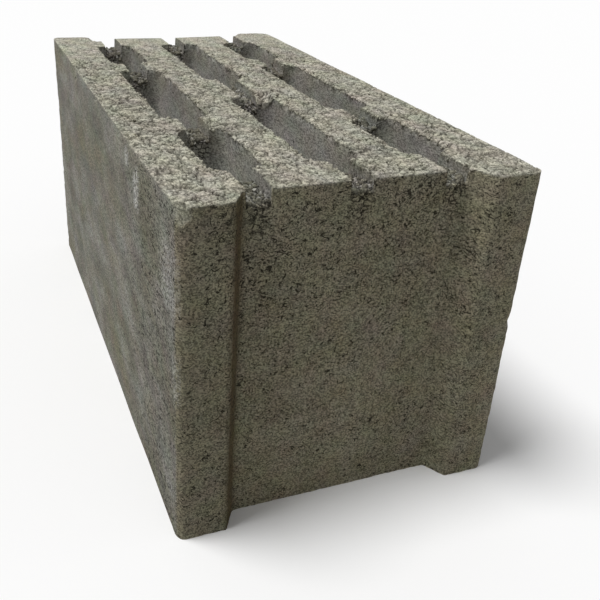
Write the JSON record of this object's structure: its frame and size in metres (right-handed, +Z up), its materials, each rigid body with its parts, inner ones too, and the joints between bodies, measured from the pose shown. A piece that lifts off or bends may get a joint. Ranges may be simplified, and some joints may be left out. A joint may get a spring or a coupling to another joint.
{
  "type": "concrete block",
  "caption": "Slotted hollow concrete block for walls, with staggered blind slots, core bar grooves in its open bed face and a mortar pocket in each end.",
  "frame": {"origin": "middle of the closed bed face that the block stands on", "axes": "+X along the block's length, +Y across its width, +Z up towards the open bed face"},
  "size_m": [0.49, 0.24, 0.238],
  "materials": {
    "concrete": "rough cast"
  },
  "bodies": {
    "root": {"concrete_block": "concrete"}
  },
  "joints": []
}
